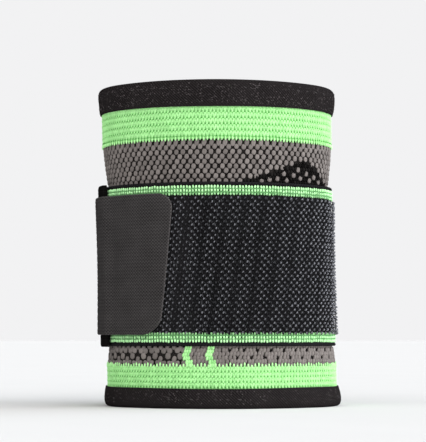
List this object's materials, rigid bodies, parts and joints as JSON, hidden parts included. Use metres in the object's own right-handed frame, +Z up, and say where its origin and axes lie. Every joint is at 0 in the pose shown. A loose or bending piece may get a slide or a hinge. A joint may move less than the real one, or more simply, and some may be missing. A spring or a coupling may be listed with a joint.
{
  "type": "wrist support sleeve",
  "caption": "Knitted elastic wrist sleeve with folded hems and a sewn-on elastic strap that wraps once round it and closes with a hook tab.",
  "frame": {"origin": "on the axis of the wrist opening, at the level of the sleeve's lower edge", "axes": "+Z up along the wrist, front with the tab's free end towards -Y, +X to the right seen from the front"},
  "size_m": [0.0712, 0.0538, 0.092],
  "materials": {
    "grey_knit": "warm grey mesh knit",
    "green_knit": "lime green rib knit",
    "black_knit": "black knit",
    "hem_cloth": "black stretch cloth, matt",
    "hem_elastic": "woven elastic",
    "thread": "sewing thread",
    "strap_loop": "black brushed loop elastic with light flecks",
    "strap_trim": "lime green chain-stitched edging",
    "strap_binding": "black binding",
    "tab_cloth": "charcoal ribbed cloth, matt",
    "tab_hooks": "moulded hooks"
  },
  "bodies": {
    "sleeve": {"knit_tube": "grey_knit", "top_green_band": "green_knit", "bottom_green_band": "green_knit", "arch_panel": "black_knit", "accent_bars": "green_knit", "top_hem": "hem_cloth", "bottom_hem": "hem_cloth", "top_hem_elastic": "hem_elastic", "bottom_hem_elastic": "hem_elastic", "top_hem_stitching": "thread", "bottom_hem_stitching": "thread", "strap_root_web": "strap_loop", "strap_root_trim": "strap_trim", "strap_root_stitching": "thread"},
    "strap_01": {"strap_web_01": "strap_loop", "strap_trim_01": "strap_trim"},
    "strap_02": {"strap_web_02": "strap_loop", "strap_trim_02": "strap_trim"},
    "strap_03": {"strap_web_03": "strap_loop", "strap_trim_03": "strap_trim"},
    "strap_04": {"strap_web_04": "strap_loop", "strap_trim_04": "strap_trim"},
    "strap_05": {"strap_web_05": "strap_loop", "strap_trim_05": "strap_trim"},
    "strap_06": {"strap_web_06": "strap_loop", "strap_trim_06": "strap_trim"},
    "strap_07": {"strap_web_07": "strap_loop", "strap_trim_07": "strap_trim"},
    "strap_08": {"strap_web_08": "strap_loop", "strap_trim_08": "strap_trim"},
    "strap_09": {"strap_web_09": "strap_loop", "strap_trim_09": "strap_trim"},
    "strap_10": {"strap_web_10": "strap_loop", "strap_trim_10": "strap_trim"},
    "strap_11": {"strap_web_11": "strap_loop", "strap_trim_11": "strap_trim"},
    "strap_12": {"strap_web_12": "strap_loop", "strap_trim_12": "strap_trim"},
    "strap_13": {"strap_web_13": "strap_loop", "strap_trim_13": "strap_trim", "strap_end_binding": "strap_binding", "tab_sewn_end": "tab_cloth", "tab_stitching": "thread"},
    "tab_bend": {"tab_middle": "tab_cloth", "tab_middle_hooks": "tab_hooks"},
    "tab_end": {"tab_tip": "tab_cloth", "tab_tip_hooks": "tab_hooks"}
  },
  "joints": [
    {"name": "strap_bend_01", "type": "hinge", "parent": "sleeve", "child": "strap_01", "pos_m": [-0.03336, -0.0031, 0.0403], "axis": [0, 0, -1], "range_deg": [0, 0.78]},
    {"name": "strap_bend_02", "type": "hinge", "parent": "strap_01", "child": "strap_02", "pos_m": [-0.0294, -0.01224, 0.0403], "axis": [0, 0, -1], "range_deg": [0, 2.18]},
    {"name": "strap_bend_03", "type": "hinge", "parent": "strap_02", "child": "strap_03", "pos_m": [-0.01547, -0.02242, 0.0403], "axis": [0, 0, -1], "range_deg": [0, 3.99]},
    {"name": "strap_bend_04", "type": "hinge", "parent": "strap_03", "child": "strap_04", "pos_m": [0.00391, -0.02541, 0.0403], "axis": [0, 0, -1], "range_deg": [0, 6.13]},
    {"name": "strap_bend_05", "type": "hinge", "parent": "strap_04", "child": "strap_05", "pos_m": [0.02232, -0.01864, 0.0403], "axis": [0, 0, -1], "range_deg": [0, 8.57]},
    {"name": "strap_bend_06", "type": "hinge", "parent": "strap_05", "child": "strap_06", "pos_m": [0.03152, -0.00888, 0.0403], "axis": [0, 0, -1], "range_deg": [0, 11.26]},
    {"name": "strap_bend_07", "type": "hinge", "parent": "strap_06", "child": "strap_07", "pos_m": [0.03358, 0.00087, 0.0403], "axis": [0, 0, -1], "range_deg": [0, 14.18]},
    {"name": "strap_bend_08", "type": "hinge", "parent": "strap_07", "child": "strap_08", "pos_m": [0.03067, 0.0104, 0.0403], "axis": [0, 0, -1], "range_deg": [0, 17.32]},
    {"name": "strap_bend_09", "type": "hinge", "parent": "strap_08", "child": "strap_09", "pos_m": [0.01942, 0.02046, 0.0403], "axis": [0, 0, -1], "range_deg": [0, 20.67]},
    {"name": "strap_bend_10", "type": "hinge", "parent": "strap_09", "child": "strap_10", "pos_m": [0.00049, 0.0256, 0.0403], "axis": [0, 0, -1], "range_deg": [0, 24.21]},
    {"name": "strap_bend_11", "type": "hinge", "parent": "strap_10", "child": "strap_11", "pos_m": [-0.01859, 0.02099, 0.0403], "axis": [0, 0, -1], "range_deg": [0, 27.92]},
    {"name": "strap_bend_12", "type": "hinge", "parent": "strap_11", "child": "strap_12", "pos_m": [-0.03173, 0.01167, 0.0403], "axis": [0, 0, -1], "range_deg": [0, 31.81]},
    {"name": "strap_unwrap", "type": "hinge", "parent": "strap_12", "child": "strap_13", "pos_m": [-0.03515, 0.00148, 0.0403], "axis": [0, 0, -1], "range_deg": [0, 31.8]},
    {"name": "tab_peel", "type": "hinge", "parent": "strap_13", "child": "tab_bend", "pos_m": [-0.03391, -0.00944, 0.0403], "axis": [0, 0, -1], "range_deg": [0, 100]},
    {"name": "tab_curl", "type": "hinge", "parent": "tab_bend", "child": "tab_end", "pos_m": [-0.02694, -0.01626, 0.0403], "axis": [0, 0, -1], "range_deg": [0, 40.1]}
  ],
  "couplings": [
    {"joint": "strap_bend_01", "follows": "strap_unwrap", "ratio": 0.02406},
    {"joint": "strap_bend_02", "follows": "strap_unwrap", "ratio": 0.06804},
    {"joint": "strap_bend_03", "follows": "strap_unwrap", "ratio": 0.125},
    {"joint": "strap_bend_04", "follows": "strap_unwrap", "ratio": 0.19245},
    {"joint": "strap_bend_05", "follows": "strap_unwrap", "ratio": 0.26896},
    {"joint": "strap_bend_06", "follows": "strap_unwrap", "ratio": 0.35355},
    {"joint": "strap_bend_07", "follows": "strap_unwrap", "ratio": 0.44553},
    {"joint": "strap_bend_08", "follows": "strap_unwrap", "ratio": 0.54433},
    {"joint": "strap_bend_09", "follows": "strap_unwrap", "ratio": 0.64952},
    {"joint": "strap_bend_10", "follows": "strap_unwrap", "ratio": 0.76073},
    {"joint": "strap_bend_11", "follows": "strap_unwrap", "ratio": 0.87764},
    {"joint": "strap_bend_12", "follows": "strap_unwrap", "ratio": 1},
    {"joint": "tab_curl", "follows": "tab_peel", "ratio": 0.4}
  ]
}
